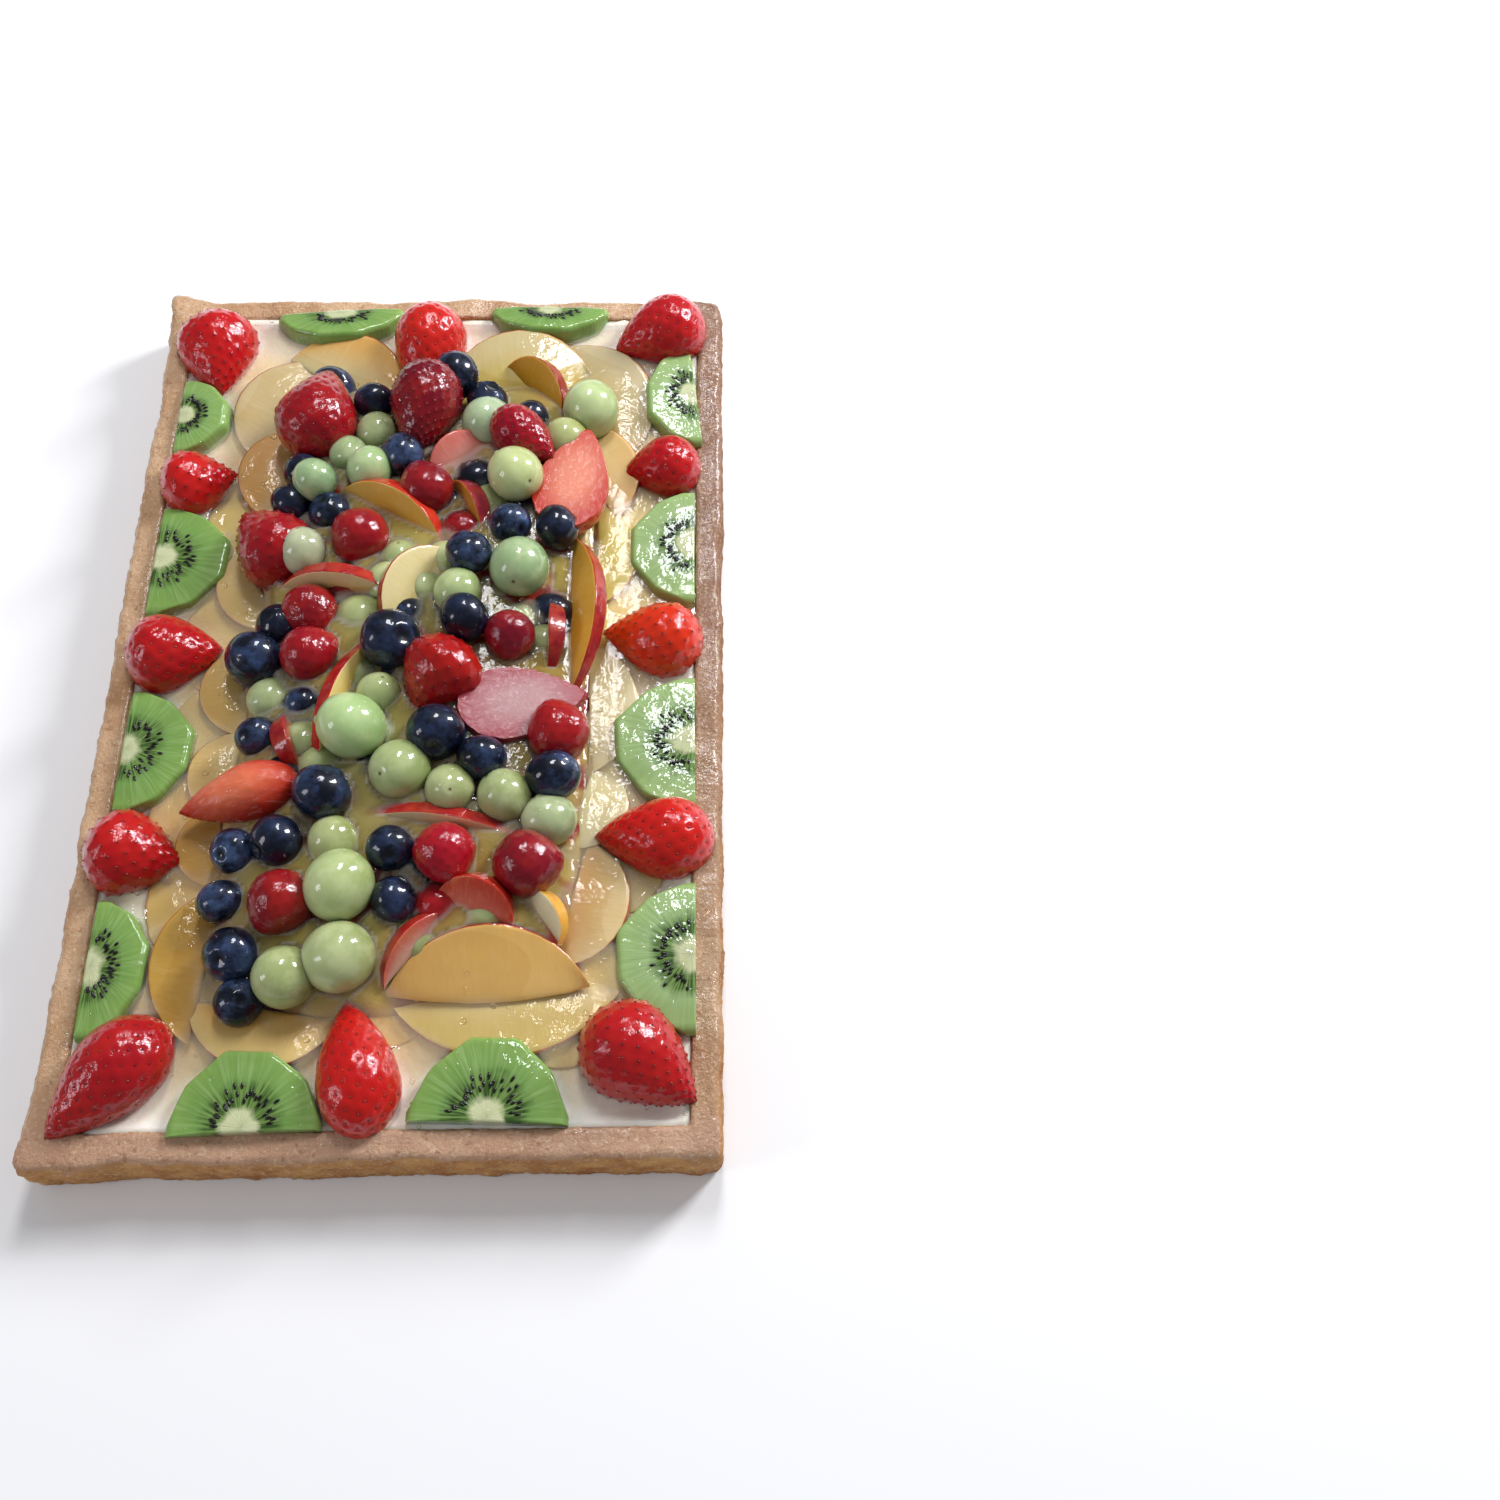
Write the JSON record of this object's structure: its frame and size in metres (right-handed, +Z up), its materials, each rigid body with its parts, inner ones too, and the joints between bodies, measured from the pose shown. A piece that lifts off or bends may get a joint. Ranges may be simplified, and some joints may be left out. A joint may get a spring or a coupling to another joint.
{
  "type": "fruit tart",
  "caption": "Rectangular shortcrust tart filled with cream, bordered by halved strawberries and kiwi slices, topped with glazed peach slices and a heap of berries and grapes.",
  "frame": {"origin": "bottom centre of the whole tart's bounding box, on the surface that it stands on", "axes": "+X to the right along the short side, +Y away from the viewer along the long side, +Z up"},
  "size_m": [0.1964, 0.308, 0.045],
  "materials": {
    "baked_crust": "baked shortcrust pastry, crumbly and matt, with a thin glaze on the rim",
    "vanilla_cream": "smooth off-white cream under clear glaze",
    "kiwi_flesh": "cut kiwi, translucent green with black seeds, glazed",
    "peach_flesh": "cut peach, pale yellow to orange, glazed",
    "strawberry_skin": "ripe strawberry skin, dimpled round its seeds, glazed",
    "nectarine_flesh": "cut nectarine, orange flesh with dark red skin, glazed",
    "heap_berries": "blueberries, green grapes and red berries, glazed"
  },
  "bodies": {
    "root": {"crust": "baked_crust", "cream": "vanilla_cream", "heap": "heap_berries", "kiwi_1": "kiwi_flesh", "kiwi_2": "kiwi_flesh", "kiwi_3": "kiwi_flesh", "kiwi_4": "kiwi_flesh", "kiwi_5": "kiwi_flesh", "kiwi_6": "kiwi_flesh", "kiwi_7": "kiwi_flesh", "kiwi_8": "kiwi_flesh", "kiwi_9": "kiwi_flesh", "kiwi_10": "kiwi_flesh", "kiwi_11": "kiwi_flesh", "kiwi_12": "kiwi_flesh", "peach_1": "peach_flesh", "peach_2": "peach_flesh", "peach_3": "peach_flesh", "peach_4": "peach_flesh", "peach_5": "peach_flesh", "peach_6": "peach_flesh", "peach_7": "peach_flesh", "peach_8": "peach_flesh", "peach_9": "peach_flesh", "peach_10": "peach_flesh", "peach_11": "peach_flesh", "peach_12": "peach_flesh", "peach_13": "peach_flesh", "peach_14": "peach_flesh", "peach_15": "peach_flesh", "peach_16": "peach_flesh", "peach_17": "peach_flesh", "strawberry_1": "strawberry_skin", "strawberry_2": "strawberry_skin", "strawberry_3": "strawberry_skin", "strawberry_4": "strawberry_skin", "strawberry_5": "strawberry_skin", "strawberry_6": "strawberry_skin", "strawberry_7": "strawberry_skin", "strawberry_8": "strawberry_skin", "strawberry_9": "strawberry_skin", "strawberry_10": "strawberry_skin", "strawberry_11": "strawberry_skin", "strawberry_12": "strawberry_skin", "nectarine_1": "nectarine_flesh", "nectarine_2": "nectarine_flesh", "nectarine_3": "nectarine_flesh", "nectarine_4": "nectarine_flesh", "nectarine_5": "nectarine_flesh", "nectarine_6": "nectarine_flesh", "nectarine_7": "nectarine_flesh", "nectarine_8": "nectarine_flesh", "heap_strawberry_1": "strawberry_skin", "heap_strawberry_2": "strawberry_skin", "heap_strawberry_3": "strawberry_skin", "heap_strawberry_4": "strawberry_skin", "heap_strawberry_5": "strawberry_skin", "heap_strawberry_6": "strawberry_skin", "heap_strawberry_7": "strawberry_skin", "heap_strawberry_8": "strawberry_skin"}
  },
  "joints": []
}
